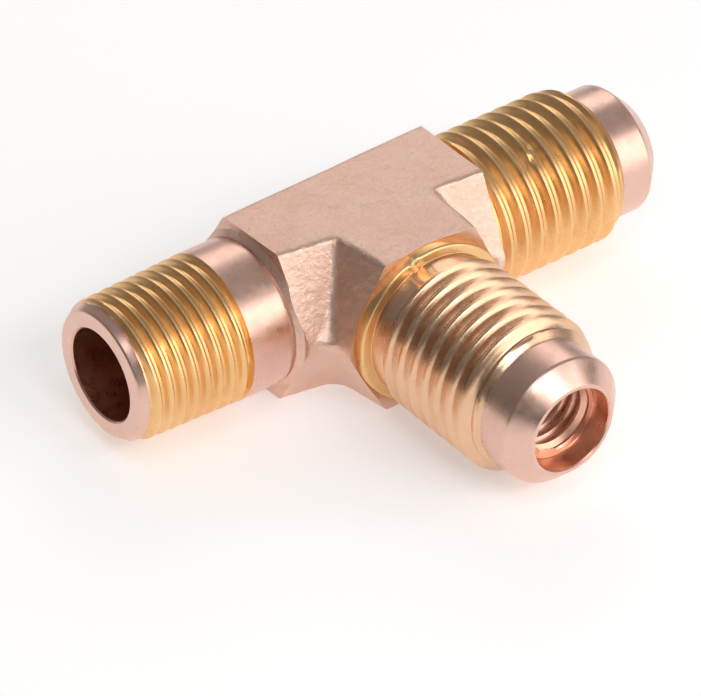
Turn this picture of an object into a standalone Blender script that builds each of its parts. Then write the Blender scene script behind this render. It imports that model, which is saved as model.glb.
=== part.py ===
"""A brass flare access tee: a forged body with one pipe-thread end, two flare ends and a valve core
screwed into the branch. Metres, +Z up. X runs along the straight run, from the pipe end at -X to the
flare end at +X, and the branch points along -Y. The origin is the centre of the flat underside."""

import math

import bmesh
import bpy
from mathutils import Matrix

MM = 0.001
SIDES = 24

# Forged body
HALF_HEIGHT = 5.9 * MM
RUN_HALF_FLAT = 3.3 * MM
BRANCH_HALF_FLAT = 3.75 * MM
SIDE_DRAFT = 0.5
PIPE_SIDE_END = 9.2 * MM
RUN_SIDE_END = 9.0 * MM
BRANCH_END = 9.1 * MM
PARTING_ROUND = 0.8 * MM
SAME_PLACE = 0.01 * MM

# Its turned ends: where the shoulder's face meets the collar, the collar's radius, and the face's slope
PIPE_SHOULDER = (8.8 * MM, 5.5 * MM, 0.12)
RUN_SHOULDER = (8.1 * MM, 5.5 * MM, 0.12)
BRANCH_SHOULDER = (8.2 * MM, 5.85 * MM, 0.12)
TURNING_DEPTH = 1.4 * MM
TURNING_REACH = 12 * MM
OVERSHOOT = 1.5 * MM
ARM_INNER_END = 2 * MM

# Tapered pipe-thread end, 27 threads to the inch
PIPE_PITCH = 25.4 / 27 * MM
PIPE_TIP = 20.5 * MM
PIPE_CREST_R = 4.95 * MM
PIPE_THREAD_DEPTH = 0.66 * MM
PIPE_TAPER = 1 / 32
PIPE_FACE_R = 4.36 * MM
PIPE_THREAD_END = 12.1 * MM
PIPE_BEVEL = 0.75 * MM
RUNOUT = 0.25 * MM
CREST_STEP = 0.05 * MM
SHANK_R = 5.2 * MM
SHANK_START = 8.1 * MM
PIPE_BORE_R = 3.25 * MM
PIPE_BORE_CHAMFER = 0.25 * MM
DRILL_POINT = (-1.0 * MM, 0.8 * MM)

# Flare ends, 7/16 inch with 20 threads to the inch, with a 45 degree seat
FLARE_PITCH = 1.27 * MM
FLARE_CREST_R = 5.55 * MM
FLARE_THREAD_DEPTH = 0.7 * MM
NECK_R = 4.85 * MM
FLARE_THREAD_END = 19.3 * MM
NOSE_R = 4.6 * MM
NOSE_END = 21.65 * MM
FLARE_TIP = 22.95 * MM
RUN_THREAD_START = 9.0 * MM
RUN_FLARE_BORE_R = 2.4 * MM
BRANCH_BAND_R = 5.25 * MM
BRANCH_BAND_START = 8.6 * MM
BRANCH_THREAD_START = 10.0 * MM

# Chamber for the valve core, measured out along the branch from the run's axis
CORE_PITCH = 0.8 * MM
MOUTH_R = 2.98 * MM
COUNTERBORE_END = 21.35 * MM
LEAD_IN = 0.3 * MM
CORE_THREAD_MAJOR_R = 2.66 * MM
CORE_THREAD_MINOR_R = 2.28 * MM
CORE_THREAD_START = 14.0 * MM
SEAT_START = 13.6 * MM
SEAT_END = 11.8 * MM
CHAMBER_R = 1.9 * MM
CHAMBER_INNER_END = 0.5 * MM

# Valve core, at the same distances
PLUG_START = 15.4 * MM
PLUG_END = 18.1 * MM
PLUG_CREST_R = 2.5 * MM
PLUG_ROOT_R = 2.12 * MM
PLUG_HOLE_R = 0.75 * MM
PLUG_LIP_R = 1.15 * MM
PLUG_RECESS_R = 1.4 * MM
PLUG_LIP = 0.4 * MM
PLUG_RECESS_END = 16.75 * MM
LUG_TOP = 18.6 * MM
LUG_WIDTH = 1.1 * MM
LUG_INNER_R = 1.05 * MM
LUG_OUTER_R = 1.95 * MM
LUG_TOOL_REACH = 3 * MM
BARREL_START = 7.6 * MM
BARREL_END = 15.1 * MM
BARREL_COLLAR_R = 1.95 * MM
BARREL_R = 1.6 * MM
BARREL_GROOVE_R = 1.45 * MM
BARREL_BORE_R = 1.2 * MM
BARREL_HOLE_R = 0.75 * MM
BARREL_FLOOR = 1.0 * MM
BARREL_CROWN = 14.8 * MM
NECK_BEAD_START = 16.0 * MM
NECK_BEAD_END = 16.5 * MM
NECK_BEAD_R = 1.3 * MM
BARREL_NECK_R = 1.08 * MM
GROOVE_START = 11.6 * MM
GROOVE_END = 13.3 * MM
PIN_R = 0.45 * MM
PIN_TIP = 18.9 * MM
PIN_TAIL = 5.6 * MM
PIN_SHOULDER_R = 0.68 * MM
PIN_SHOULDER_START = 13.9 * MM
PIN_SHOULDER_END = 14.3 * MM
WASHER_R = 1.1 * MM
WASHER_THICK = 0.35 * MM
CUP_START = 6.2 * MM
CUP_END = 7.4 * MM
CUP_R = 1.45 * MM
SPRING_R = 0.88 * MM
SPRING_WIRE_R = 0.12 * MM
SPRING_TURNS = 7
GAP = 0.1 * MM


def clear_scene():
    for obj in list(bpy.data.objects):
        bpy.data.objects.remove(obj, do_unlink=True)


def material(name, color, roughness, metallic):
    mat = bpy.data.materials.new(name)
    mat.use_nodes = True
    shader = mat.node_tree.nodes["Principled BSDF"]
    shader.inputs["Base Color"].default_value = (*color, 1.0)
    shader.inputs["Roughness"].default_value = roughness
    shader.inputs["Metallic"].default_value = metallic
    mat.diffuse_color = (*color, 1.0)
    return mat


def mesh_object(name, bm, mat=None, smooth_angle=30):
    bmesh.ops.recalc_face_normals(bm, faces=bm.faces)
    mesh = bpy.data.meshes.new(name)
    bm.to_mesh(mesh)
    bm.free()
    mesh.shade_smooth()
    mesh.set_sharp_from_angle(angle=math.radians(smooth_angle))
    obj = bpy.data.objects.new(name, mesh)
    bpy.context.scene.collection.objects.link(obj)
    if mat:
        mesh.materials.append(mat)
    return obj


class Thread:
    """A right-hand helical thread between two points of a turned outline."""

    def __init__(self, pitch, crest_r, root_r, crest_share=0.2, root_share=0.2, taper=0.0):
        self.pitch = pitch
        self.crest_r = crest_r
        self.root_r = root_r
        self.taper = taper
        flank = (1 - crest_share - root_share) / 2
        self.corners = ((0.0, 1), (crest_share, 1), (crest_share + flank, 0), (1 - flank, 0))

    def stations(self, turn, low, high):
        """(key, height, radius) of each thread corner on the line at this fraction of a turn."""
        margin = 0.12 * self.pitch
        first = math.floor(low / self.pitch) - 1
        last = math.ceil(high / self.pitch) + 1
        found = []
        for count in range(first, last + 1):
            for corner, (share, is_crest) in enumerate(self.corners):
                height = self.pitch * (count + share + turn)
                if low + margin < height < high - margin:
                    full = self.crest_r if is_crest else self.root_r
                    radius = full - self.taper * (height - low)
                    found.append((count * len(self.corners) + corner, height, radius))
        return found


def outline_line(outline, turn):
    """(key, height, radius) along one line of a turned shape, with any thread's corners worked out."""
    line = []
    for number, item in enumerate(outline):
        if isinstance(item, Thread):
            low = outline[number - 1][0]
            high = outline[number + 1][0]
            line += [(("thread", key), z, r) for key, z, r in item.stations(turn, low, high)]
        else:
            line.append((("ring", number), *item))
    return line


def bridge_lines(bm, left, right, wrap):
    """Faces between two neighbouring lines. wrap renumbers thread corners where the turn closes."""
    at_left = at_right = 0
    while at_left < len(left) - 1 or at_right < len(right) - 1:
        next_left = left[min(at_left + 1, len(left) - 1)]
        next_right = right[min(at_right + 1, len(right) - 1)]
        kind, number = next_right[0]
        right_key = (kind, number - wrap) if kind == "thread" else (kind, number)
        corners = [left[at_left][1], right[at_right][1]]
        if next_left[0] == right_key and at_left < len(left) - 1 and at_right < len(right) - 1:
            corners += [next_right[1], next_left[1]]
            at_left += 1
            at_right += 1
        elif next_left[0][0] == "ring" or (kind == "thread" and right_key < next_left[0]):
            corners.append(next_right[1])
            at_right += 1
        else:
            corners.append(next_left[1])
            at_left += 1
        bm.faces.new(corners)


def turned(name, outline, mat=None, hollow=False, sides=SIDES):
    """A solid turned about its local Z from (height, radius) points. A hollow outline closes on itself."""
    bm = bmesh.new()
    lines = []
    for side in range(sides):
        turn = side / sides
        angle = math.tau * turn
        line = []
        for key, z, r in outline_line(outline, turn):
            line.append((key, bm.verts.new((r * math.cos(angle), r * math.sin(angle), z))))
        if hollow:
            line.append((("ring", len(outline)), line[0][1]))
        lines.append(line)
    corner_count = next((len(item.corners) for item in outline if isinstance(item, Thread)), 0)
    for side in range(sides):
        closes = side == sides - 1
        bridge_lines(bm, lines[side], lines[(side + 1) % sides], corner_count if closes else 0)
    if not hollow:
        bm.faces.new([line[0][1] for line in reversed(lines)])
        bm.faces.new([line[-1][1] for line in lines])
    return mesh_object(name, bm, mat)


def place(obj, direction):
    """Puts a shape turned about Z on the fitting's axes, pointing along -X, +X or -Y."""
    turns = {
        "pipe": Matrix.Rotation(math.radians(-90), 4, "Y"),
        "run": Matrix.Rotation(math.radians(90), 4, "Y"),
        "branch": Matrix.Rotation(math.radians(90), 4, "X"),
    }
    obj.matrix_world = Matrix.Translation((0, 0, HALF_HEIGHT)) @ turns[direction]
    return obj


def hide_helper(obj):
    obj.hide_render = True
    obj.display_type = "WIRE"
    obj.hide_set(True)


def boolean(target, tool, operation):
    modifier = target.modifiers.new(tool.name, "BOOLEAN")
    modifier.operation = operation
    modifier.object = tool
    modifier.solver = "EXACT"
    hide_helper(tool)


def tee_outline(run_half, branch_half):
    """The tee's plan, anticlockwise seen from above."""
    return [
        (RUN_SIDE_END, run_half),
        (-PIPE_SIDE_END, run_half),
        (-PIPE_SIDE_END, -run_half),
        (-branch_half, -run_half),
        (-branch_half, -BRANCH_END),
        (branch_half, -BRANCH_END),
        (branch_half, -run_half),
        (RUN_SIDE_END, -run_half),
    ]


def forged_block(mat):
    """Flat top and bottom, with sides that lean out to the parting line at mid height."""
    bm = bmesh.new()
    lean = SIDE_DRAFT * HALF_HEIGHT
    levels = []
    for z, grow in ((0, 0), (HALF_HEIGHT, lean), (2 * HALF_HEIGHT, 0)):
        plan = tee_outline(RUN_HALF_FLAT + grow, BRANCH_HALF_FLAT + grow)
        levels.append([bm.verts.new((x, y, z)) for x, y in plan])
    bm.faces.new(reversed(levels[0]))
    bm.faces.new(levels[-1])
    for lower, upper in zip(levels, levels[1:]):
        for here in range(len(lower)):
            after = (here + 1) % len(lower)
            bm.faces.new((lower[here], lower[after], upper[after], upper[here]))
    parting = []
    for here in range(len(levels[1])):
        edge = bm.edges.get((levels[1][here], levels[1][(here + 1) % len(levels[1])]))
        if not on_end_face(edge):
            parting.append(edge)
    bmesh.ops.bevel(
        bm,
        geom=parting,
        offset=PARTING_ROUND,
        offset_type="OFFSET",
        segments=3,
        profile=0.5,
        affect="EDGES",
    )
    return mesh_object("tee_body", bm, mat)


def on_end_face(edge):
    first, second = (vert.co for vert in edge.verts)
    at_run_end = min(abs(first.x + PIPE_SIDE_END), abs(first.x - RUN_SIDE_END)) < SAME_PLACE
    at_branch_end = abs(first.y + BRANCH_END) < SAME_PLACE
    return (first.x == second.x and at_run_end) or (first.y == second.y and at_branch_end)


def turned_end_cutter(name, shoulder):
    """A ring that turns one end of the forging: a round collar with a sloping face behind it."""
    face, radius, slope = shoulder
    rim = min(radius + TURNING_DEPTH / slope, TURNING_REACH)
    outline = [
        (face + OVERSHOOT, radius),
        (face + OVERSHOOT, TURNING_REACH),
        (face - (rim - radius) * slope, TURNING_REACH),
        (face - (rim - radius) * slope, rim - SAME_PLACE),
        (face, radius),
    ]
    return turned(name, outline, hollow=True, sides=2 * SIDES)


def pipe_end():
    thread = Thread(
        PIPE_PITCH,
        PIPE_CREST_R + PIPE_TAPER * (PIPE_TIP - PIPE_THREAD_END),
        PIPE_CREST_R + PIPE_TAPER * (PIPE_TIP - PIPE_THREAD_END) - PIPE_THREAD_DEPTH,
        taper=PIPE_TAPER,
    )
    bevel_start = PIPE_TIP - PIPE_BEVEL
    outline = [
        (ARM_INNER_END, NECK_R),
        (SHANK_START - GAP, NECK_R),
        (SHANK_START, SHANK_R),
        (PIPE_THREAD_END - RUNOUT, SHANK_R),
        (PIPE_THREAD_END, thread.root_r),
        thread,
        (bevel_start, PIPE_CREST_R - PIPE_THREAD_DEPTH),
        (bevel_start + CREST_STEP, PIPE_CREST_R),
        (PIPE_TIP, PIPE_FACE_R),
    ]
    return place(turned("pipe_end_blank", outline), "pipe")


def flare_end(name, direction, neck, thread_start):
    """A flare end: a plain neck if it has one, the thread, its chamfer, the nose and the 45 degree seat."""
    root = FLARE_CREST_R - FLARE_THREAD_DEPTH
    thread = Thread(FLARE_PITCH, FLARE_CREST_R, root)
    chamfer_start = FLARE_THREAD_END - (FLARE_CREST_R - NOSE_R)
    outline = [
        (ARM_INNER_END, NECK_R),
        *neck,
        (thread_start, root),
        thread,
        (chamfer_start - GAP, root),
        (chamfer_start, FLARE_CREST_R - CREST_STEP),
        (FLARE_THREAD_END, NOSE_R),
        (NOSE_END, NOSE_R),
        (FLARE_TIP, NOSE_R - (FLARE_TIP - NOSE_END)),
    ]
    return place(turned(name, outline), direction)


def run_bore():
    """The way through the run: the wide pipe bore, a drill point, and the narrower flare bore."""
    outline = [
        (-FLARE_TIP - OVERSHOOT, RUN_FLARE_BORE_R),
        (DRILL_POINT[0], RUN_FLARE_BORE_R),
        (DRILL_POINT[1], PIPE_BORE_R),
        (PIPE_TIP - PIPE_BORE_CHAMFER, PIPE_BORE_R),
        (PIPE_TIP, PIPE_BORE_R + PIPE_BORE_CHAMFER),
        (PIPE_TIP + OVERSHOOT, PIPE_BORE_R + PIPE_BORE_CHAMFER),
    ]
    return place(turned("run_bore", outline), "pipe")


def branch_bore():
    """The core's chamber: a plain lead-in, the core's thread, a tapered seat and the gas way."""
    thread = Thread(CORE_PITCH, CORE_THREAD_MAJOR_R, CORE_THREAD_MINOR_R, 0.14, 0.34)
    outline = [
        (CHAMBER_INNER_END, CHAMBER_R),
        (SEAT_END, CHAMBER_R),
        (SEAT_START, CORE_THREAD_MINOR_R),
        (CORE_THREAD_START, CORE_THREAD_MINOR_R),
        thread,
        (COUNTERBORE_END - LEAD_IN, CORE_THREAD_MAJOR_R),
        (COUNTERBORE_END, MOUTH_R),
        (FLARE_TIP + OVERSHOOT, MOUTH_R),
    ]
    return place(turned("branch_bore", outline), "branch")


def tee_body(mat):
    body = forged_block(mat)
    for name, shoulder, direction in (
        ("pipe_side_turning", PIPE_SHOULDER, "pipe"),
        ("flare_side_turning", RUN_SHOULDER, "run"),
        ("branch_turning", BRANCH_SHOULDER, "branch"),
    ):
        boolean(body, place(turned_end_cutter(name, shoulder), direction), "DIFFERENCE")
    band = [
        (BRANCH_BAND_START - GAP, NECK_R),
        (BRANCH_BAND_START, BRANCH_BAND_R),
        (BRANCH_THREAD_START - RUNOUT, BRANCH_BAND_R),
    ]
    boolean(body, pipe_end(), "UNION")
    boolean(body, flare_end("run_flare_blank", "run", [], RUN_THREAD_START), "UNION")
    boolean(body, flare_end("branch_flare_blank", "branch", band, BRANCH_THREAD_START), "UNION")
    boolean(body, run_bore(), "DIFFERENCE")
    boolean(body, branch_bore(), "DIFFERENCE")
    return body


def core_plug(mat):
    """The threaded plug that holds the core in, with two lugs for the core tool."""
    thread = Thread(CORE_PITCH, PLUG_CREST_R, PLUG_ROOT_R, 0.16, 0.3)
    outline = [
        (PLUG_START, PLUG_LIP_R),
        (PLUG_START, PLUG_ROOT_R),
        thread,
        (PLUG_END, PLUG_ROOT_R),
        (PLUG_END, PLUG_HOLE_R),
        (PLUG_RECESS_END, PLUG_HOLE_R),
        (PLUG_RECESS_END, PLUG_RECESS_R),
        (PLUG_START + PLUG_LIP, PLUG_RECESS_R),
        (PLUG_START + PLUG_LIP, PLUG_LIP_R),
    ]
    plug = place(turned("core_plug", outline, mat, hollow=True), "branch")
    lug_root = PLUG_END - 3 * GAP
    ring = [(lug_root, LUG_INNER_R), (lug_root, LUG_OUTER_R), (LUG_TOP, LUG_OUTER_R), (LUG_TOP, LUG_INNER_R)]
    boolean(plug, place(turned("lug_ring", ring, hollow=True), "branch"), "UNION")
    width = LUG_OUTER_R - LUG_WIDTH / 2 + 4 * GAP
    size = (2 * LUG_TOOL_REACH, width, LUG_TOOL_REACH)
    for side in (-1, 1):
        cutter = bmesh.new()
        bmesh.ops.create_cube(cutter, size=1.0)
        middle = (0, side * (LUG_WIDTH + width) / 2, PLUG_END + size[2] / 2 + 2 * SAME_PLACE)
        move = Matrix.Translation(middle) @ Matrix.Diagonal((*size, 1))
        bmesh.ops.transform(cutter, matrix=move, verts=cutter.verts)
        boolean(plug, place(mesh_object(f"lug_cut_{side}", cutter), "branch"), "DIFFERENCE")
    return plug


def core_barrel(mat):
    """The barrel, with its rolled bead held in the plug so that the plug turns on it."""
    floor_top = BARREL_START + BARREL_FLOOR
    outline = [
        (BARREL_START, BARREL_HOLE_R),
        (BARREL_START, BARREL_R),
        (GROOVE_START, BARREL_R),
        (GROOVE_START, BARREL_GROOVE_R),
        (GROOVE_END, BARREL_GROOVE_R),
        (GROOVE_END, BARREL_COLLAR_R),
        (BARREL_END, BARREL_COLLAR_R),
        (BARREL_END, BARREL_NECK_R),
        (NECK_BEAD_START, BARREL_NECK_R),
        (NECK_BEAD_START, NECK_BEAD_R),
        (NECK_BEAD_END, NECK_BEAD_R),
        (NECK_BEAD_END, BARREL_HOLE_R),
        (BARREL_CROWN, BARREL_HOLE_R),
        (BARREL_CROWN, BARREL_BORE_R),
        (floor_top, BARREL_BORE_R),
        (floor_top, BARREL_HOLE_R),
    ]
    return place(turned("core_barrel", outline, mat, hollow=True), "branch")


def core_seat_ring(mat):
    """The soft ring in the barrel's groove, tapered like the seat that it closes on."""
    slope = (CORE_THREAD_MINOR_R - CHAMBER_R) / (SEAT_START - SEAT_END)
    bottom = GROOVE_START + GAP
    top = GROOVE_END - GAP
    outline = [
        (bottom, BARREL_GROOVE_R + 0.05 * MM),
        (bottom, CHAMBER_R - GAP),
        (SEAT_END, CHAMBER_R - GAP),
        (top, CHAMBER_R - GAP + slope * (top - SEAT_END)),
        (top, BARREL_GROOVE_R + 0.05 * MM),
    ]
    return place(turned("core_seat_ring", outline, mat, hollow=True), "branch")


def valve_pin(mat):
    outline = [
        (PIN_TAIL, PIN_R + 0.2 * MM),
        (PIN_TAIL + 0.4 * MM, PIN_R + 0.2 * MM),
        (PIN_TAIL + 0.45 * MM, PIN_R),
        (PIN_SHOULDER_START, PIN_R),
        (PIN_SHOULDER_START, PIN_SHOULDER_R),
        (PIN_SHOULDER_END, PIN_SHOULDER_R),
        (PIN_SHOULDER_END, PIN_R),
        (PIN_TIP - 0.15 * MM, PIN_R),
        (PIN_TIP, PIN_R - 0.12 * MM),
    ]
    return place(turned("valve_pin", outline, mat), "branch")


def spring_washer(mat):
    """The washer under the pin's shoulder that the spring pushes out."""
    top = PIN_SHOULDER_START - GAP
    bottom = top - WASHER_THICK
    inner = PIN_R + 0.05 * MM
    outline = [(bottom, inner), (bottom, WASHER_R), (top, WASHER_R), (top, inner)]
    return place(turned("spring_washer", outline, mat, hollow=True), "branch")


def valve_cup(mat):
    rubber_floor = CUP_START + 0.5 * MM
    outline = [
        (CUP_START, PIN_R + 0.05 * MM),
        (CUP_START, CUP_R - 0.2 * MM),
        (CUP_START + 0.2 * MM, CUP_R),
        (CUP_END - 0.1 * MM, CUP_R),
        (CUP_END - 0.1 * MM, CUP_R - 0.2 * MM),
        (rubber_floor, CUP_R - 0.2 * MM),
        (rubber_floor, PIN_R + 0.05 * MM),
    ]
    return place(turned("valve_cup", outline, mat, hollow=True), "branch")


def cup_seal(mat):
    bottom = CUP_START + 0.5 * MM + 0.05 * MM
    outline = [
        (bottom, PIN_R + 0.05 * MM),
        (bottom, CUP_R - 0.25 * MM),
        (CUP_END, CUP_R - 0.25 * MM),
        (CUP_END + 0.05 * MM, CUP_R - 0.35 * MM),
        (CUP_END + 0.05 * MM, PIN_R + 0.05 * MM),
    ]
    return place(turned("cup_seal", outline, mat, hollow=True), "branch")


def core_spring(mat):
    """The coil between the barrel's floor and the washer, with its end turns closed."""
    bottom = BARREL_START + BARREL_FLOOR + SPRING_WIRE_R + GAP
    top = PIN_SHOULDER_START - GAP - WASHER_THICK - SPRING_WIRE_R - GAP
    steps = 14
    wire_sides = 6
    bm = bmesh.new()
    rings = []
    total = SPRING_TURNS * steps
    for step in range(total + 1):
        turn = step / steps
        angle = math.tau * turn
        share = min(max((turn - 0.75) / (SPRING_TURNS - 1.5), 0), 1)
        closed_turns = 2.2 * SPRING_WIRE_R
        base = bottom + closed_turns * min(turn, 0.75) / 0.75
        lift = (top - bottom - 2 * closed_turns) * share
        height = base + lift + closed_turns * max(turn - (SPRING_TURNS - 0.75), 0) / 0.75
        ring = []
        for side in range(wire_sides):
            around = math.tau * side / wire_sides
            radius = SPRING_R + SPRING_WIRE_R * math.cos(around)
            z = height + SPRING_WIRE_R * math.sin(around)
            ring.append(bm.verts.new((radius * math.cos(angle), radius * math.sin(angle), z)))
        rings.append(ring)
    for here, after in zip(rings, rings[1:]):
        for side in range(wire_sides):
            other = (side + 1) % wire_sides
            bm.faces.new((here[side], here[other], after[other], after[side]))
    bm.faces.new(reversed(rings[0]))
    bm.faces.new(rings[-1])
    return place(mesh_object("core_spring", bm, mat, smooth_angle=60), "branch")


def main():
    clear_scene()
    forged = material("forged_brass", (0.72, 0.47, 0.36), 0.42, 1.0)
    machined = material("machined_brass", (0.80, 0.58, 0.36), 0.25, 1.0)
    steel = material("spring_steel", (0.62, 0.62, 0.60), 0.3, 1.0)
    seal = material("white_seal", (0.86, 0.85, 0.80), 0.5, 0.0)
    rubber = material("black_rubber", (0.03, 0.03, 0.03), 0.7, 0.0)
    tee_body(forged)
    core_plug(machined)
    core_barrel(machined)
    core_seat_ring(seal)
    valve_pin(machined)
    spring_washer(machined)
    valve_cup(machined)
    cup_seal(rubber)
    core_spring(steel)


main()
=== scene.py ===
"""The looks of the flare access tee: a forged brass body, its machined arms and the valve core in its
branch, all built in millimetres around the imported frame, with a studio floor, lights and camera."""

import math

import bmesh
import bpy
import numpy as np
from mathutils import Matrix, Vector, noise

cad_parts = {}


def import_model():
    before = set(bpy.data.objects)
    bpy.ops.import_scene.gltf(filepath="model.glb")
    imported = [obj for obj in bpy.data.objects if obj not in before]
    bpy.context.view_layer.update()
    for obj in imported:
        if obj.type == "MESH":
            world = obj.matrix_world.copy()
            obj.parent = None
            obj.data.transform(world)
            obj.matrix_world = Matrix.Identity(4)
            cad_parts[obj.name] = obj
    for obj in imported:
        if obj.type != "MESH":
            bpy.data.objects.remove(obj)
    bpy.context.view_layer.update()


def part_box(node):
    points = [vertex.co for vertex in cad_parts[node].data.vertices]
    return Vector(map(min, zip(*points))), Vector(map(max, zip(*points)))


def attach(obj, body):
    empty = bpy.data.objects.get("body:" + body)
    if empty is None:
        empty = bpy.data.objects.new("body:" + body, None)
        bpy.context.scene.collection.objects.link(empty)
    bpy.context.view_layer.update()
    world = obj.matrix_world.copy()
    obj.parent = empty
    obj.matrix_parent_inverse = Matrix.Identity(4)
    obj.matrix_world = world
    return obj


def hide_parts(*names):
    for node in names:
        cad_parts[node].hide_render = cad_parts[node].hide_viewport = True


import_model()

MM = 0.001
BODY_LOW, BODY_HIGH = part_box("tee_body")
HALF_HEIGHT = (BODY_HIGH.z - BODY_LOW.z) / 2 / MM
PIPE_TIP = -BODY_LOW.x / MM
RUN_TIP = BODY_HIGH.x / MM
BRANCH_TIP = -BODY_LOW.y / MM

# Forging: the flat's corners seen from above, and how far the parting line stands out from the axes
FORGING_REACH = 10.0
FLAT_CORNERS = (
    (FORGING_REACH, 3.3),
    (-FORGING_REACH, 2.7),
    (-FORGING_REACH, -2.6),
    (-4.2, -3.62),
    (-3.25, -FORGING_REACH),
    (3.55, -FORGING_REACH),
    (4.1, -3.1),
    (FORGING_REACH, -3.75),
)
RUN_PARTING = 6.19
BRANCH_PARTING = 6.67
FLAT_HALF_WIDTH = 3.24
FLAT_INSET = 1.2
FLAT_EDGE_ROUND = 0.22
PARTING_ROUND = 1.3
SIDE_STEP = 0.8
UPPER_CORNER_ROUND = 0.12
LOWER_CORNER_ROUND = 1.7
CORNER_CHANGE = (1.1, 0.1)
FORGING_VOXEL = 0.24
RIPPLE_DEPTH = 0.022

# Turned ends: where the lathe stops beside the arm, that radius, where it stops at the rim, and the
# face's lean in plan
PIPE_SHOULDER = (8.86, 5.14, 8.5, 0.05)
RUN_SHOULDER = (8.1, 5.2, 7.95, 0.0)
BRANCH_SHOULDER = (7.75, 5.8, 8.02, 0.0)
SHOULDER_SLOPE = 0.45
LATHE_REACH = 12.0
LATHE_END = 14.0
LATHE_CENTRE = 0.4

# Inside the forging, every arm starts with this point
ARM_ROOT = (5.0, 4.4)
ARM_SIDES = 144
BORE_SIDES = 96
CUT_PAST = 1.5

# Threads
THREAD_SAMPLES = 12
THREAD_FLANK = 0.6
THREAD_SOFTNESS = 0.45
THREAD_MARGIN = 0.06
FAR = 30.0
PIPE_PITCH = 25.4 / 27
PIPE_DEPTH = 0.4
PIPE_SHANK_START = 8.95
PIPE_SHANK_R = 5.2
PIPE_GROOVE_R = 4.96
PIPE_THREAD_START = 12.0
PIPE_CREST_AT = (12.75, -46.8)
FLARE_PITCH = 1.27
FLARE_CREST_R = 5.53
FLARE_THREAD_END = 19.3
FLARE_RUNOUT = 0.75
RUN_DEPTH = 0.5
RUN_CREST_AT = (10.1, 226.8)
BRANCH_DEPTH = 0.62
BRANCH_CREST_AT = (14.25, 128.4)
COLLAR_R = 5.84
COLLAR_END = 8.62
NECK_R = 5.15
NOSE_R = 4.6
NOSE_END = 21.65

# Bores
PIPE_BORE_R = 3.25
RUN_BORE_R = 2.42
CHAMBER_R = 2.66
CHAMBER_DRILL_R = 1.9
CHAMBER_END = 21.3
COUNTERBORE_R = 2.98

# Valve core: its thread is shared by the chamber and the plug
CORE_PITCH = 0.8
CORE_CREST_AT = (17.5, 128.4)
CORE_SAMPLES = 10
CHAMBER_DEPTH = 0.36
PLUG_CREST_R = 2.5
PLUG_DEPTH = 0.38
PLUG_R = 2.12
PLUG_BORE_R = 0.75
PLUG_POCKET_R = 1.4
PLUG_SKIRT_R = 1.15
LUG_HEIGHT = 0.5
LUG_HALF_WIDTH = 0.53
LUG_INNER_R = 1.05
LUG_OUTER_R = 1.95
PIN_R = 0.45
PIN_SHOULDER_R = 0.68
WIRE_R = 0.12
SPRING_TURNS = 7
SPRING_CLOSED = 0.75

# BORE is a darker, redder copy of the machined brass for the walls of both bores: painted shade.
FORGED, MACHINED, GOLD, BRANCH_LIT_BRASS, BORE = range(5)
body_materials = []

TO_WORLD = {
    "pipe": Matrix.Rotation(math.radians(-90), 4, "Y"),
    "run": Matrix.Rotation(math.radians(90), 4, "Y"),
    "branch": Matrix.Rotation(math.radians(90), 4, "X"),
}


# ---------------------------------------------------------------- mesh helpers


def new_object(name, mesh):
    obj = bpy.data.objects.new(name, mesh)
    bpy.context.scene.collection.objects.link(obj)
    return obj


def mesh_from(name, bm):
    bmesh.ops.recalc_face_normals(bm, faces=bm.faces)
    mesh = bpy.data.meshes.new(name)
    bm.to_mesh(mesh)
    bm.free()
    for mat in body_materials:
        mesh.materials.append(mat)
    return new_object(name, mesh)


def arc(centre, radius, start, end, steps):
    """Points on an arc in the (height, radius) plane, angles in degrees."""
    points = []
    for step in range(steps + 1):
        angle = math.radians(start + (end - start) * step / steps)
        points.append((centre[0] + radius * math.cos(angle), centre[1] + radius * math.sin(angle)))
    return points


def rounded(points, radii, steps=4):
    """An open line of points with a fillet of the given radius at each inner corner."""
    out = [points[0]]
    for before, corner, after, radius in zip(points, points[1:], points[2:], radii[1:-1]):
        if radius <= 0:
            out.append(corner)
            continue
        here = Vector(corner)
        back = (Vector(before) - here).normalized()
        ahead = (Vector(after) - here).normalized()
        half = back.angle(ahead) / 2
        reach = radius / math.tan(half)
        centre = here + (back + ahead).normalized() * radius / math.sin(half)
        first = here + back * reach - centre
        last = here + ahead * reach - centre
        swing = first.angle_signed(last)
        for step in range(steps + 1):
            spoke = first.copy()
            spoke.rotate(Matrix.Rotation(-swing * step / steps, 2))
            out.append(tuple(centre + spoke))
    out.append(points[-1])
    return out


def ease(share):
    """0 to 1 with a soft start and end."""
    return share * share * (3 - 2 * share)


def along(line, height):
    """The radius at a height on a line of (height, radius) points."""
    heights = [point[0] for point in line]
    return float(np.interp(height, heights, [point[1] for point in line]))


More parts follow.
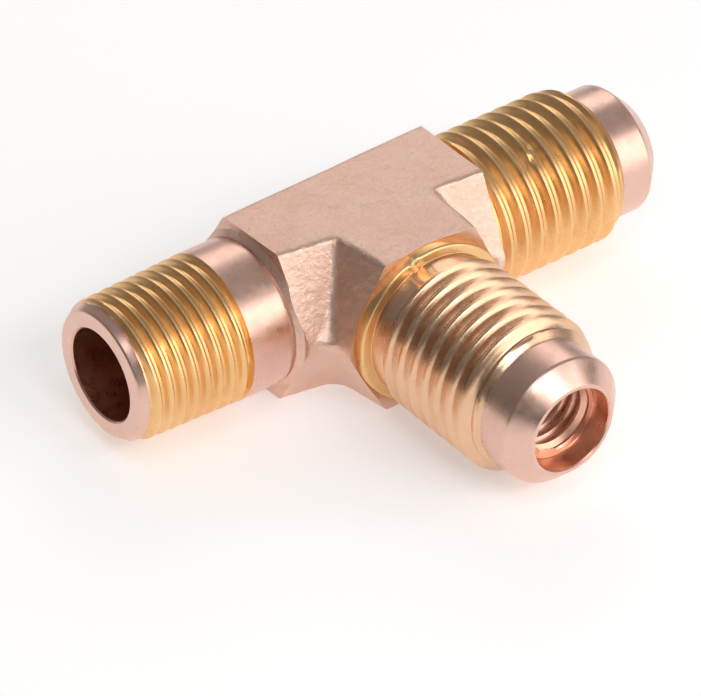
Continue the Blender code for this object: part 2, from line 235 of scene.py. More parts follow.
class Helix:
    """A right-hand thread whose points follow the helix, clipped between a floor and a ceiling line."""

    def __init__(self, pitch, depth, ceiling, floor, crest_at, samples):
        self.pitch = pitch
        self.depth = depth
        self.ceiling = ceiling
        self.floor = floor
        self.samples = samples
        self.phase = (crest_at[0] / pitch - crest_at[1] / 360.0) % 1.0

    def shape(self, share):
        """1 on the crest and 0 in the root, for a share of the pitch counted from the crest."""
        ramp = 1 - 2 * abs(share - round(share))
        ramp = (ramp - 0.5) / THREAD_FLANK + 0.5
        ramp = min(max(ramp, 0.0), 1.0)
        return ease(ramp) * THREAD_SOFTNESS + ramp * (1 - THREAD_SOFTNESS)

    def stations(self, turn, low, high):
        margin = THREAD_MARGIN * self.pitch
        first = math.floor(low / self.pitch) - 2
        last = math.ceil(high / self.pitch) + 2
        found = []
        for count in range(first * self.samples, last * self.samples):
            share = count / self.samples
            height = self.pitch * (share + turn + self.phase)
            if low + margin < height < high - margin:
                found.append((count, height, self.radius(share, height)))
        return found

    def radius(self, share, height):
        crest = along(self.ceiling[0], height)
        radius = crest - self.depth + self.depth * self.shape(share)
        radius = min(radius, along(self.ceiling[1], height)) if len(self.ceiling) > 1 else radius
        if self.floor:
            radius = max(radius, along(self.floor, height))
        return radius


def lathe_lines(outline, turn):
    line = []
    for number, item in enumerate(outline):
        if isinstance(item, Helix):
            low = outline[number - 1][0]
            high = outline[number + 1][0]
            line += [(("thread", key), z, r) for key, z, r in item.stations(turn, low, high)]
        else:
            line.append((("ring", number), *item))
    return line


def bridge(bm, left, right, wrap):
    at_left = at_right = 0
    while at_left < len(left) - 1 or at_right < len(right) - 1:
        next_left = left[min(at_left + 1, len(left) - 1)]
        next_right = right[min(at_right + 1, len(right) - 1)]
        kind, number = next_right[0]
        right_key = (kind, number - wrap) if kind == "thread" else (kind, number)
        corners = [left[at_left][1], right[at_right][1]]
        if next_left[0] == right_key and at_left < len(left) - 1 and at_right < len(right) - 1:
            corners += [next_right[1], next_left[1]]
            at_left += 1
            at_right += 1
        elif next_left[0][0] == "ring" or (kind == "thread" and right_key < next_left[0]):
            corners.append(next_right[1])
            at_right += 1
        else:
            corners.append(next_left[1])
            at_left += 1
        bm.faces.new(corners)


def turned(name, outline, direction, sides, slot_of=None, hollow=False, nudge=None, shift=None):
    """A solid turned from (height, radius) points and threads, placed along one of the three arms.

    nudge and shift move a point in or out and along the arm, given its (height, radius, angle)."""
    bm = bmesh.new()
    lines = []
    for side in range(sides):
        turn = side / sides
        angle = math.tau * turn
        line = []
        for key, z, r in lathe_lines(outline, turn):
            moved_r = r + nudge(z, r, angle) if nudge else r
            moved_z = z + shift(z, r, angle) if shift else z
            spot = (moved_r * math.cos(angle), moved_r * math.sin(angle), moved_z)
            line.append((key, bm.verts.new(spot)))
        if hollow:
            line.append((("ring", len(outline)), line[0][1]))
        lines.append(line)
    wrap = next((item.samples for item in outline if isinstance(item, Helix)), 0)
    for side in range(sides):
        closes = side == sides - 1
        bridge(bm, lines[side], lines[(side + 1) % sides], wrap if closes else 0)
    if not hollow:
        bm.faces.new([line[0][1] for line in reversed(lines)])
        bm.faces.new([line[-1][1] for line in lines])
    if slot_of:
        for face in bm.faces:
            middle = face.calc_center_median()
            face.material_index = slot_of(middle.z, math.hypot(middle.x, middle.y))
    bmesh.ops.transform(bm, matrix=TO_WORLD[direction], verts=bm.verts)
    return mesh_from(name, bm)


def apply_modifiers(obj):
    evaluated = obj.evaluated_get(bpy.context.evaluated_depsgraph_get())
    mesh = bpy.data.meshes.new_from_object(evaluated)
    obj.modifiers.clear()
    old = obj.data
    obj.data = mesh
    bpy.data.meshes.remove(old)
    return obj


def boolean(target, tools, operation):
    """Joins or cuts with closed meshes, and removes them."""
    for tool in tools:
        modifier = target.modifiers.new("bool", "BOOLEAN")
        modifier.operation = operation
        modifier.object = tool
        modifier.solver = "MANIFOLD"
    apply_modifiers(target)
    for tool in tools:
        bpy.data.objects.remove(tool, do_unlink=True)
    return target


def finish_piece(obj, name, body, node, materials, angle=32):
    """Turns millimetres into metres, lifts the piece to the arms' height and hands it to the frame."""
    matrix = Matrix.Scale(MM, 4) @ Matrix.Translation((0, 0, HALF_HEIGHT))
    obj.data.transform(matrix)
    obj.name = name
    obj.data.name = name
    if not obj.data.materials:
        for mat in materials:
            obj.data.materials.append(mat)
    obj.data.shade_smooth()
    obj.data.set_sharp_from_angle(angle=math.radians(angle))
    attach(obj, body)
    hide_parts(node)


# ---------------------------------------------------------------- materials


class Nodes:
    """A material's node tree, with short calls for the few nodes that these surfaces use."""

    def __init__(self, name, color, roughness, metallic=1.0):
        self.mat = bpy.data.materials.new(name)
        self.mat.use_nodes = True
        self.tree = self.mat.node_tree
        self.shader = self.tree.nodes["Principled BSDF"]
        self.shader.inputs["Base Color"].default_value = (*color, 1.0)
        self.shader.inputs["Roughness"].default_value = roughness
        self.shader.inputs["Metallic"].default_value = metallic
        self.mat.diffuse_color = (*color, 1.0)
        coordinate = self.tree.nodes.new("ShaderNodeTexCoord")
        scale = self.tree.nodes.new("ShaderNodeMapping")
        scale.inputs["Scale"].default_value = (1 / MM, 1 / MM, 1 / MM)
        self.tree.links.new(coordinate.outputs["Object"], scale.inputs["Vector"])
        self.place = scale.outputs["Vector"]

    def link(self, source, target):
        self.tree.links.new(source, target)

    def stretched(self, scale):
        node = self.tree.nodes.new("ShaderNodeMapping")
        node.inputs["Scale"].default_value = scale
        self.link(self.place, node.inputs["Vector"])
        return node.outputs["Vector"]

    def noise(self, scale, detail=3.0, rough=0.5, vector=None):
        node = self.tree.nodes.new("ShaderNodeTexNoise")
        node.inputs["Scale"].default_value = scale
        node.inputs["Detail"].default_value = detail
        node.inputs["Roughness"].default_value = rough
        self.link(vector or self.place, node.inputs["Vector"])
        return node.outputs["Fac"]

    def ramp(self, fac, low, high, start=0.0, end=1.0):
        """Maps a factor from low..high to start..end, held at both ends."""
        node = self.tree.nodes.new("ShaderNodeMapRange")
        node.inputs["From Min"].default_value = low
        node.inputs["From Max"].default_value = high
        node.inputs["To Min"].default_value = start
        node.inputs["To Max"].default_value = end
        self.link(fac, node.inputs["Value"])
        return node.outputs["Result"]

    def blend(self, fac, first, second):
        """Mixes two colours, each a tuple or a socket."""
        node = self.tree.nodes.new("ShaderNodeMix")
        node.data_type = "RGBA"
        self.link(fac, node.inputs["Factor"])
        for value, socket in ((first, node.inputs[6]), (second, node.inputs[7])):
            if isinstance(value, tuple):
                socket.default_value = (*value, 1.0)
            else:
                self.link(value, socket)
        return node.outputs[2]

    def multiply(self, first, second):
        node = self.tree.nodes.new("ShaderNodeMath")
        node.operation = "MULTIPLY"
        self.link(first, node.inputs[0])
        self.link(second, node.inputs[1])
        return node.outputs[0]

    def bump(self, height, depth):
        """Adds a bump of this depth in millimetres on top of the ones already there."""
        node = self.tree.nodes.new("ShaderNodeBump")
        node.inputs["Strength"].default_value = 1.0
        node.inputs["Distance"].default_value = depth * MM
        self.link(height, node.inputs["Height"])
        normal = self.shader.inputs["Normal"]
        if normal.is_linked:
            self.link(normal.links[0].from_socket, node.inputs["Normal"])
        self.link(node.outputs["Normal"], normal)

    def color(self, socket):
        self.link(socket, self.shader.inputs["Base Color"])

    def roughness(self, socket):
        self.link(socket, self.shader.inputs["Roughness"])


def forged_brass():
    nodes = Nodes("cast_brass", (0.78, 0.58, 0.49), 0.46)
    broad = nodes.noise(0.45, 4.0, 0.55)
    fine = nodes.noise(4.0, 4.0, 0.6)
    base = nodes.blend(nodes.ramp(broad, 0.3, 0.7), (0.79, 0.53, 0.42), (0.83, 0.59, 0.48))
    pits = nodes.ramp(nodes.noise(7.0, 2.0, 0.5), 0.62, 0.72)
    sparse = nodes.ramp(nodes.noise(0.8, 2.0, 0.5), 0.5, 0.62)
    spots = nodes.multiply(pits, sparse)
    nodes.color(nodes.blend(spots, base, (0.68, 0.45, 0.36)))
    nodes.roughness(nodes.ramp(fine, 0.25, 0.75, 0.38, 0.54))
    nodes.bump(nodes.noise(1.3, 5.0, 0.6), 0.10)
    nodes.bump(nodes.noise(6.0, 3.0, 0.6), 0.016)
    return nodes.mat


def turned_brass(name, dark, light, roughness, axis):
    """Machined brass: fine rings left by the tool, spaced along the axis of the arm."""
    nodes = Nodes(name, light, roughness)
    broad = nodes.noise(0.35, 3.0, 0.5)
    nodes.color(nodes.blend(nodes.ramp(broad, 0.3, 0.7), dark, light))
    scale = tuple(1.0 if here == axis else 0.02 for here in "xyz")
    rings = nodes.noise(11.0, 3.0, 0.6, nodes.stretched(scale))
    smudge = nodes.noise(1.1, 3.0, 0.6)
    nodes.roughness(nodes.ramp(smudge, 0.3, 0.7, roughness * 0.8, roughness * 1.25))
    nodes.bump(rings, 0.004)
    return nodes.mat


def soft_material(name, color, roughness, grain):
    nodes = Nodes(name, color, roughness, 0.0)
    dark = tuple(channel * 0.8 for channel in color)
    nodes.color(nodes.blend(nodes.ramp(nodes.noise(1.2), 0.3, 0.7), dark, color))
    nodes.bump(nodes.noise(9.0, 3.0, 0.6), grain)
    return nodes.mat


def steel():
    nodes = Nodes("drawn_steel", (0.62, 0.62, 0.61), 0.28)
    nodes.roughness(nodes.ramp(nodes.noise(3.0), 0.3, 0.7, 0.2, 0.36))
    nodes.bump(nodes.noise(14.0), 0.003)
    return nodes.mat


# ---------------------------------------------------------------- forging


def plan(share, corner):
    """The outline seen from above: share 0 on the flats and 1 on the parting line."""
    outline = []
    for x, y in FLAT_CORNERS:
        wide = abs(x) if abs(x) == FORGING_REACH else BRANCH_PARTING
        deep = abs(y) if abs(y) == FORGING_REACH else RUN_PARTING
        grown_x = (math.copysign(wide, x) - x) * share
        grown_y = (math.copysign(deep, y) - y) * share
        outline.append((x + grown_x, y + grown_y))
    back, left_end, left, left_inner, branch_left, branch_right, right_inner, right = outline
    turn_in = rounded([left, left_inner, branch_left], (0, corner, 0), 8)
    turn_out = rounded([branch_right, right_inner, right], (0, corner, 0), 8)
    return [back, left_end, *turn_in, *turn_out]


def side_profile():
    """(share, height) from the top flat over the parting line to the bottom flat."""
    grown = RUN_PARTING - FLAT_HALF_WIDTH
    top, bottom = HALF_HEIGHT, -HALF_HEIGHT
    corners = [(-FLAT_INSET, top), (0, top), (grown, 0), (0, bottom), (-FLAT_INSET, bottom)]
    radii = (0, FLAT_EDGE_ROUND, PARTING_ROUND, FLAT_EDGE_ROUND, 0)
    line = rounded(corners, radii, 8)
    filled = []
    for here, after in zip(line, line[1:]):
        steps = max(1, round(math.dist(here, after) / SIDE_STEP))
        filled += [tuple(np.array(here) + (np.array(after) - here) * k / steps) for k in range(steps)]
    return [(growth / grown, height) for growth, height in filled + [line[-1]]]


def corner_round(height):
    """The inner corners are sharp above the parting line and full below it."""
    high, low = CORNER_CHANGE
    share = ease(min(max((high - height) / (high - low), 0.0), 1.0))
    return UPPER_CORNER_ROUND + (LOWER_CORNER_ROUND - UPPER_CORNER_ROUND) * share


def forging():
    bm = bmesh.new()
    levels = []
    for share, height in side_profile():
        levels.append([bm.verts.new((x, y, height)) for x, y in plan(share, corner_round(height))])
    for upper, lower in zip(levels, levels[1:]):
        for here in range(len(upper)):
            after = (here + 1) % len(upper)
            bm.faces.new((upper[here], upper[after], lower[after], lower[here]))
    bm.faces.new(levels[0])
    bm.faces.new(reversed(levels[-1]))
    block = mesh_from("forging", bm)
    remesh = block.modifiers.new("remesh", "REMESH")
    remesh.mode = "VOXEL"
    remesh.voxel_size = FORGING_VOXEL
    apply_modifiers(block)
    ripple(block)
    return block


def ripple(block):
    """The die's slight waves and grain, kept below the flats so that the height stays true."""
    verts = block.data.vertices
    places = np.empty(len(verts) * 3, np.float32)
    normals = np.empty(len(verts) * 3, np.float32)
    verts.foreach_get("co", places)
    block.data.vertex_normals.foreach_get("vector", normals)
    places, normals = places.reshape(-1, 3), normals.reshape(-1, 3)
    depth = np.empty((len(places), 1), np.float32)
    for number, place in enumerate(places):
        here = Vector(place)
        broad = noise.noise(here * 0.45 + Vector((3, 7, 1)))
        grain = noise.noise(here * 2.2) * 0.45
        depth[number] = RIPPLE_DEPTH * (1.5 + broad + grain)
    verts.foreach_set("co", (places - normals * depth).ravel())
    block.data.update()


def end_tool(name, shoulder, direction):
    """What the lathe takes off one end of the forging, leaving the shoulder's face."""
    beside, radius, rim, lean = shoulder
    outline = [
        (beside, LATHE_CENTRE),
        (beside, radius),
        (rim, radius + SHOULDER_SLOPE),
        (rim, LATHE_REACH),
        (LATHE_END, LATHE_REACH),
        (LATHE_END, LATHE_CENTRE),
    ]

    def shift(z, r, angle):
        return lean * r * math.sin(angle)

    return turned(name, outline, direction, ARM_SIDES, lambda z, r: FORGED, hollow=True, shift=shift)


# ---------------------------------------------------------------- arms


def dent(spots, depth, width):
    """A nudge that presses small round dents in: (height, angle in degrees) for each."""

    def nudge(z, r, angle):
        pressed = 0.0
        for height, degrees in spots:
            across = math.remainder(angle - math.radians(degrees), math.tau) * r
            pressed += depth * math.exp(-((z - height) ** 2 + across**2) / width**2)
        return -pressed

    return nudge


def pipe_arm():
    """The tapered pipe thread, its shank and its bevelled end."""
    start, shank = PIPE_THREAD_START, PIPE_SHANK_R
    taper = [(9.0, 5.29), (PIPE_TIP, 4.93)]
    bevel = [(9.0, 9.0), (19.45, 5.0), (PIPE_TIP - 0.2, 4.62), (PIPE_TIP, 4.36)]
    runout = [(start - 0.6, shank), (start, shank), (start + 0.6, 3.0), (FAR, 3.0)]
    thread = Helix(PIPE_PITCH, PIPE_DEPTH, (taper, bevel), runout, PIPE_CREST_AT, THREAD_SAMPLES)
    groove = [
        (PIPE_SHANK_START - 0.15, PIPE_GROOVE_R),
        (PIPE_SHANK_START - 0.08, PIPE_GROOVE_R),
        (PIPE_SHANK_START, shank),
        (PIPE_SHANK_START + 0.35, shank),
    ]
    outline = [
        ARM_ROOT,
        (8.5, 4.9),
        *rounded(groove, (0, 0.02, 0.04, 0), 4),
        (start - 0.3, shank),
        (start, shank),
        thread,
        (19.9, 4.72),
        *rounded([(20.0, 4.66), (PIPE_TIP, 4.44), (PIPE_TIP, 3.0)], (0, 0.26, 0), 6),
    ]

    def slot_of(z, r):
        if z < PIPE_SHANK_START - 0.1:
            return FORGED
        return GOLD if start - 0.05 < z < 19.75 else MACHINED

    return turned("pipe_arm", outline, "pipe", ARM_SIDES, slot_of)


def flare_arm(name, direction, neck, depth, tip, crest_at, slot, nudge):
    """A flare end: thread, chamfer, nose and the 45 degree seat."""
    end, nose_r, nose_end = FLARE_THREAD_END, NOSE_R, NOSE_END
    chamfer = FLARE_CREST_R - nose_r
    level = [(0.0, FLARE_CREST_R), (FAR, FLARE_CREST_R)]
    bevel = [(0.0, 9.0), (end - chamfer - 0.02, 5.6), (end - chamfer, FLARE_CREST_R - 0.03), (end, nose_r)]
    runout = [neck[-1], (neck[-1][0] + FLARE_RUNOUT, 3.0), (FAR, 3.0)]
    thread = Helix(FLARE_PITCH, depth, (level, bevel), runout, crest_at, THREAD_SAMPLES)
    lip = nose_r - (tip - nose_end)
    outline = [
        ARM_ROOT,
        *neck,
        thread,
        *rounded(
            [(end - 0.1, nose_r + 0.08), (end, nose_r), (nose_end, nose_r), (tip, lip), (tip, lip - 1.0)],
            (0, 0.06, 0.35, 0.07, 0),
            5,
        ),
    ]

    def slot_of(z, r):
        if z > end - 0.05:
            return MACHINED
        return slot if z > COLLAR_END else GOLD

    return turned(name, outline, direction, ARM_SIDES, slot_of, nudge=nudge)


def run_arm():
    neck = [(7.0, 4.7), (7.9, 5.3), (8.35, 5.3), (8.45, 5.05)]
    nicks = dent(((12.86, 203.6), (12.54, 213.1)), 0.2, 0.3)
    return flare_arm("run_arm", "run", neck, RUN_DEPTH, RUN_TIP, RUN_CREST_AT, GOLD, nicks)


def branch_arm():
    ring = [
        (7.0, 4.7),
        (7.65, COLLAR_R),
        (COLLAR_END - 0.12, COLLAR_R - 0.04),
        (COLLAR_END, NECK_R),
        (9.9, NECK_R),
    ]
    neck = rounded(ring, (0, 0.05, 0.2, 0.05, 0))
    notch = dent(((COLLAR_END - 0.12, 106.5),), 0.35, 0.22)
    thread = (BRANCH_DEPTH, BRANCH_TIP, BRANCH_CREST_AT)
    # The branch arm's thread slot is painted light: a paler, less yellow copy of the run's thread brass,
    # toned to how this arm is lit.
    return flare_arm("branch_arm", "branch", neck, *thread, BRANCH_LIT_BRASS, notch)


def run_bore():
    """The bore through the run, wide from the pipe end and narrow from the flare end."""
    mouth = 0.1
    outline = [
        (-RUN_TIP - CUT_PAST, RUN_BORE_R + mouth),
        (-RUN_TIP, RUN_BORE_R + mouth),
        (-RUN_TIP + 0.12, RUN_BORE_R),
        (-1.0, RUN_BORE_R),
        (0.8, PIPE_BORE_R),
        (PIPE_TIP - 0.12, PIPE_BORE_R),
        (PIPE_TIP, PIPE_BORE_R + mouth),
        (PIPE_TIP + CUT_PAST, PIPE_BORE_R + mouth),
    ]
    return turned("run_bore", outline, "pipe", BORE_SIDES, lambda z, r: BORE)


def branch_bore():
    """Drawn as the solid that the tools remove, so the core thread's crests point outwards here."""
    level = [(0.0, CHAMBER_R), (FAR, CHAMBER_R)]
    thread = Helix(CORE_PITCH, CHAMBER_DEPTH, (level,), None, CORE_CREST_AT, CORE_SAMPLES)
    outline = [
        (0.5, CHAMBER_DRILL_R),
        (11.8, CHAMBER_DRILL_R),
        (13.6, 2.28),
        (14.0, 2.28),
        thread,
        (CHAMBER_END, CHAMBER_R),
        (CHAMBER_END + 0.04, COUNTERBORE_R - 0.04),
        (CHAMBER_END + 0.1, COUNTERBORE_R),
        (BRANCH_TIP - 0.1, COUNTERBORE_R),
        (BRANCH_TIP, COUNTERBORE_R + 0.07),
        (BRANCH_TIP + CUT_PAST, COUNTERBORE_R + 0.07),
    ]
    return turned("branch_bore", outline, "branch", BORE_SIDES, lambda z, r: BORE)


def tee_body(materials):
    body_materials.extend(materials)
    body = forging()
    tools = [
        end_tool("pipe_tool", PIPE_SHOULDER, "pipe"),
        end_tool("run_tool", RUN_SHOULDER, "run"),
        end_tool("branch_tool", BRANCH_SHOULDER, "branch"),
    ]
    boolean(body, tools, "DIFFERENCE")
    boolean(body, [pipe_arm(), run_arm(), branch_arm()], "UNION")
    boolean(body, [run_bore(), branch_bore()], "DIFFERENCE")
    body_materials.clear()
    finish_piece(body, "tee_body_look", "body", "tee_body", materials)


# ---------------------------------------------------------------- valve core


def core_plug(mat):
    low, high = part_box("core_plug")
    start, top = -high.y / MM, -low.y / MM
    face = top - LUG_HEIGHT
    level = [(0.0, PLUG_CREST_R), (FAR, PLUG_CREST_R)]
    thread = Helix(CORE_PITCH, PLUG_DEPTH, (level,), None, CORE_CREST_AT, CORE_SAMPLES)
    pocket = face - 1.35
    rim = [(face - 0.1, PLUG_R), (face, PLUG_R - 0.06), (face, PLUG_BORE_R), (pocket, PLUG_BORE_R)]
    outline = [
        (start, PLUG_SKIRT_R),
        (start, PLUG_R),
        thread,
        *rounded(rim, (0, 0.05, 0.08, 0), 3),
        (pocket, PLUG_POCKET_R),
        (start + 0.4, PLUG_POCKET_R),
        (start + 0.4, PLUG_SKIRT_R),
    ]
    plug = turned("plug", outline, "branch", BORE_SIDES, hollow=True)
    for side in (-1, 1):
        boolean(plug, [tool_lug(side, face, top)], "UNION")
    finish_piece(plug, "core_plug_look", "plug", "core_plug", [mat])


def tool_lug(side, face, top):
    """One of the two lugs that the core tool turns: an arc of the plug's rim with flat flanks."""
    bm = bmesh.new()
    rim = []
    for radius, order in ((LUG_OUTER_R, 1), (LUG_INNER_R, -1)):
        reach = math.asin(LUG_HALF_WIDTH / radius)
        for step in range(9):
            angle = order * reach * (step / 4 - 1)
            rim.append((side * radius * math.cos(angle), radius * math.sin(angle)))
    low = [bm.verts.new((x, y, face - 0.2)) for x, y in rim]
    high = [bm.verts.new((x, y, top)) for x, y in rim]
    for here in range(len(rim)):
        after = (here + 1) % len(rim)
        bm.faces.new((low[here], low[after], high[after], high[here]))
    bm.faces.new(low)
    bm.faces.new(high)
    bmesh.ops.transform(bm, matrix=TO_WORLD["branch"], verts=bm.verts)
    lug = mesh_from("lug", bm)
    bevel = lug.modifiers.new("bevel", "BEVEL")
    bevel.width = 0.05
    bevel.segments = 2
    return apply_modifiers(lug)


def core_barrel(mat):
    outline = [
        (7.6, 0.75),
        *rounded([(7.6, 1.2), (7.6, 1.6), (8.2, 1.6)], (0, 0.12, 0), 3),
        (11.6, 1.6),
        (11.6, 1.45),
        (13.3, 1.45),
        *rounded([(13.3, 1.7), (13.3, 1.95), (15.1, 1.95), (15.1, 1.5)], (0, 0.08, 0.08, 0), 3),
        (15.1, 1.08),
        (16.0, 1.08),
        *rounded([(16.0, 1.1), (16.0, 1.3), (16.5, 1.3), (16.5, 1.1)], (0, 0.12, 0.12, 0), 3),
        (16.5, 0.75),
        (14.8, 0.75),
        (14.8, 1.2),
        (8.6, 1.2),
        (8.6, 0.75),
    ]
    barrel = turned("barrel", outline, "branch", 72, hollow=True)
    finish_piece(barrel, "core_barrel_look", "core", "core_barrel", [mat])


def core_seat_ring(mat):
    outline = [
        (11.7, 1.5),
        *rounded([(11.7, 1.6), (11.7, 1.8), (11.9, 1.8)], (0, 0.06, 0), 3),
        (12.2, 1.88),
        *rounded([(13.0, 2.05), (13.2, 2.09), (13.2, 1.8)], (0, 0.05, 0), 3),
        (13.2, 1.5),
    ]
    ring = turned("seat_ring", outline, "branch", 72, hollow=True)
    finish_piece(ring, "core_seat_ring_look", "core", "core_seat_ring", [mat])


def valve_pin(mat):
    low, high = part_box("valve_pin")
    tail, tip = -high.y / MM, -low.y / MM
    outline = [
        *rounded([(tail, 0.3), (tail, 0.65), (tail + 0.4, 0.65), (tail + 0.45, PIN_R)], (0, 0.1, 0.05, 0), 3),
        (13.9, PIN_R),
        (13.9, PIN_SHOULDER_R),
        (14.3, PIN_SHOULDER_R),
        (14.3, PIN_R),
        *arc((tip - 0.25, 0.2), 0.25, 90, 0, 5),
        (tip, 0.12),
    ]
    pin = turned("pin", outline, "branch", 48)
    finish_piece(pin, "valve_pin_look", "pin", "valve_pin", [mat])


def ring_piece(name, outline, mat):
    """A ring that moves with the pin."""
    piece = turned(name, outline, "branch", 64, hollow=True)
    finish_piece(piece, name + "_look", "pin", name, [mat])


def small_rings(brass, rubber):
    washer = [(13.45, 0.5), (13.45, 1.05), (13.5, 1.1), (13.75, 1.1), (13.8, 1.05), (13.8, 0.5)]
    ring_piece("spring_washer", washer, brass)
    cup = [
        (6.2, 0.5),
        *rounded([(6.2, 1.0), (6.2, 1.45), (7.3, 1.45)], (0, 0.2, 0), 4),
        (7.3, 1.25),
        (6.7, 1.25),
        (6.7, 0.5),
    ]
    ring_piece("valve_cup", cup, brass)
    seal = [
        (6.75, 0.5),
        (6.75, 1.2),
        *rounded([(7.2, 1.2), (7.44, 1.2), (7.44, 0.9)], (0, 0.12, 0), 4),
        (7.44, 0.5),
    ]
    ring_piece("cup_seal", seal, rubber)


def core_spring(mat):
    """A coil of round wire, its last turns closed at both ends."""
    low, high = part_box("core_spring")
    coil_r = (high.x - low.x) / 2 / MM - WIRE_R
    bottom, top = -high.y / MM + WIRE_R, -low.y / MM - WIRE_R
    steps, around = 36, 12
    closed = 2.2 * WIRE_R
    bm = bmesh.new()
    rings = []
    for step in range(SPRING_TURNS * steps + 1):
        turn = step / steps
        angle = math.tau * turn
        share = min(max((turn - SPRING_CLOSED) / (SPRING_TURNS - 2 * SPRING_CLOSED), 0), 1)
        height = bottom + closed * min(turn, SPRING_CLOSED) / SPRING_CLOSED
        height += (top - bottom - 2 * closed) * share
        height += closed * max(turn - (SPRING_TURNS - SPRING_CLOSED), 0) / SPRING_CLOSED
        ring = []
        for side in range(around):
            spin = math.tau * side / around
            radius = coil_r + WIRE_R * math.cos(spin)
            z = height + WIRE_R * math.sin(spin)
            ring.append(bm.verts.new((radius * math.cos(angle), radius * math.sin(angle), z)))
        rings.append(ring)
    for here, after in zip(rings, rings[1:]):
        for side in range(around):
            other = (side + 1) % around
            bm.faces.new((here[side], here[other], after[other], after[side]))
    bm.faces.new(reversed(rings[0]))
    bm.faces.new(rings[-1])
    bmesh.ops.transform(bm, matrix=TO_WORLD["branch"], verts=bm.verts)
    coil = mesh_from("coil", bm)
    finish_piece(coil, "core_spring_look", "core", "core_spring", [mat], 60)


# ---------------------------------------------------------------- studio

CROSSING = Vector((0, 0, HALF_HEIGHT * MM))
VIEW_AZIMUTH = math.radians(-36.651)
VIEW_ELEVATION = math.radians(36.966)
VIEW_ROLL = math.radians(-0.509)
VIEW_DISTANCE = 0.3402
VIEW_OFFSET = (-0.00028, -0.00573)
LENS = 263.84


def view_axes():
    """The camera's right, up and back directions."""
    sin_a, cos_a = math.sin(VIEW_AZIMUTH), math.cos(VIEW_AZIMUTH)
    sin_e, cos_e = math.sin(VIEW_ELEVATION), math.cos(VIEW_ELEVATION)
    back = Vector((sin_a * cos_e, -cos_a * cos_e, sin_e))
    right = Vector((cos_a, sin_a, 0))
    up = back.cross(right)
    sin_r, cos_r = math.sin(VIEW_ROLL), math.cos(VIEW_ROLL)
    return cos_r * right + sin_r * up, cos_r * up - sin_r * right, back


def camera():
    right, up, back = view_axes()
    data = bpy.data.cameras.new("camera")
    data.lens = LENS
    data.sensor_width = 36
    data.sensor_fit = "HORIZONTAL"
    data.clip_start = 0.01
    data.clip_end = 20
    obj = new_object("camera", data)
    place = CROSSING + back * VIEW_DISTANCE + right * VIEW_OFFSET[0] + up * VIEW_OFFSET[1]
    matrix = Matrix((right, up, back)).transposed().to_4x4()
    matrix.translation = place
    obj.matrix_world = matrix
    bpy.context.scene.camera = obj


def softbox(name, direction, distance, size, power, color=(1, 1, 1)):
    data = bpy.data.lights.new(name, "AREA")
    data.shape = "RECTANGLE"
    data.size, data.size_y = size
    data.energy = power
    data.color = color
    obj = new_object(name, data)
    toward = Vector(direction).normalized()
    obj.location = CROSSING + toward * distance
    obj.rotation_euler = toward.to_track_quat("Z", "Y").to_euler()
    obj.visible_camera = False


def floor():
    bm = bmesh.new()
    bmesh.ops.create_grid(bm, x_segments=4, y_segments=4, size=3.0)
    obj = mesh_from("floor", bm)
    obj.location = (0, 0, BODY_LOW.z - 0.00002)
    nodes = Nodes("floor_card", (0.93, 0.93, 0.93), 0.8, 0.0)
    nodes.shader.inputs["Emission Color"].default_value = (1, 1, 1, 1)
    nodes.shader.inputs["Emission Strength"].default_value = 0.37
    nodes.bump(nodes.noise(0.4), 0.002)
    obj.data.materials.append(nodes.mat)


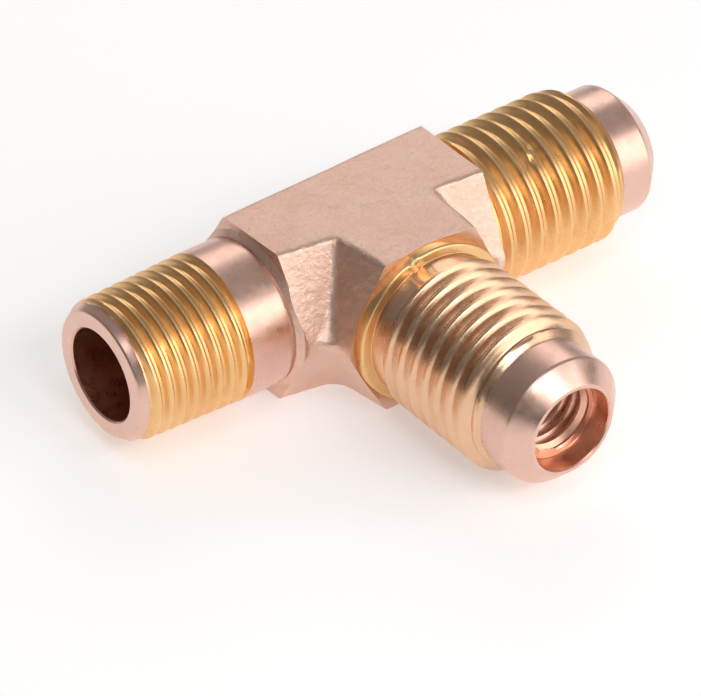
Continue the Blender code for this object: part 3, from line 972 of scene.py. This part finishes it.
def world():
    scene = bpy.context.scene
    scene.world = bpy.data.worlds.new("studio")
    scene.world.use_nodes = True
    tree = scene.world.node_tree
    backdrop = tree.nodes["Background"]
    backdrop.inputs["Color"].default_value = (1, 1, 1, 1)
    backdrop.inputs["Strength"].default_value = 1.0
    dim = tree.nodes.new("ShaderNodeBackground")
    dim.inputs["Color"].default_value = (0.96, 0.93, 0.92, 1)
    coordinate = tree.nodes.new("ShaderNodeTexCoord")
    lean = tree.nodes.new("ShaderNodeVectorMath")
    lean.operation = "DOT_PRODUCT"
    lean.inputs[1].default_value = Vector((0.85, 0.30, 0.30)).normalized()
    tree.links.new(coordinate.outputs["Generated"], lean.inputs[0])
    shade = tree.nodes.new("ShaderNodeMapRange")
    shade.inputs["From Min"].default_value = -0.7
    shade.inputs["From Max"].default_value = 0.8
    shade.inputs["To Min"].default_value = 0.13
    shade.inputs["To Max"].default_value = 0.40
    tree.links.new(lean.outputs["Value"], shade.inputs["Value"])
    tree.links.new(shade.outputs["Result"], dim.inputs["Strength"])
    path = tree.nodes.new("ShaderNodeLightPath")
    mix = tree.nodes.new("ShaderNodeMixShader")
    tree.links.new(path.outputs["Is Camera Ray"], mix.inputs["Fac"])
    tree.links.new(dim.outputs[0], mix.inputs[1])
    tree.links.new(backdrop.outputs[0], mix.inputs[2])
    tree.links.new(mix.outputs[0], tree.nodes["World Output"].inputs["Surface"])
    scene.view_settings.view_transform = "Standard"


def lights():
    softbox("front_right", (0.50, -0.82, 0.26), 0.55, (0.50, 0.50), 1.35, (1.0, 0.98, 0.95))
    softbox("front_top", (-0.02, -0.74, 0.67), 0.55, (0.34, 0.12), 0.65)
    softbox("overhead_left", (-0.30, -0.36, 0.88), 0.6, (0.26, 0.26), 0.45)
    softbox("back_right", (0.48, 0.66, 0.58), 0.6, (0.42, 0.30), 0.47, (1.0, 0.95, 0.93))


def main():
    gold = turned_brass("gold_brass", (0.84, 0.50, 0.22), (0.91, 0.59, 0.28), 0.32, "x")
    machined = turned_brass("pink_brass", (0.77, 0.50, 0.40), (0.82, 0.54, 0.45), 0.30, "x")
    # The branch arm's brass is painted light: the thread brass copied paler and less yellow, toned to how
    # that arm is lit.
    branch = turned_brass("branch_lit_brass", (0.77, 0.48, 0.30), (0.83, 0.54, 0.36), 0.24, "y")
    # The bores' brass is painted shade: machined brass made darker and redder inside the bores.
    bore = turned_brass("bore_shaded_brass", (0.80, 0.43, 0.30), (0.86, 0.50, 0.36), 0.30, "x")
    core = turned_brass("core_brass", (0.82, 0.60, 0.30), (0.88, 0.67, 0.37), 0.25, "y")
    tee_body([forged_brass(), machined, gold, branch, bore])
    core_plug(core)
    core_barrel(core)
    core_seat_ring(soft_material("white_seal", (0.84, 0.83, 0.79), 0.45, 0.004))
    valve_pin(core)
    small_rings(core, soft_material("black_rubber", (0.035, 0.034, 0.034), 0.62, 0.006))
    core_spring(steel())
    floor()
    world()
    lights()
    camera()


main()
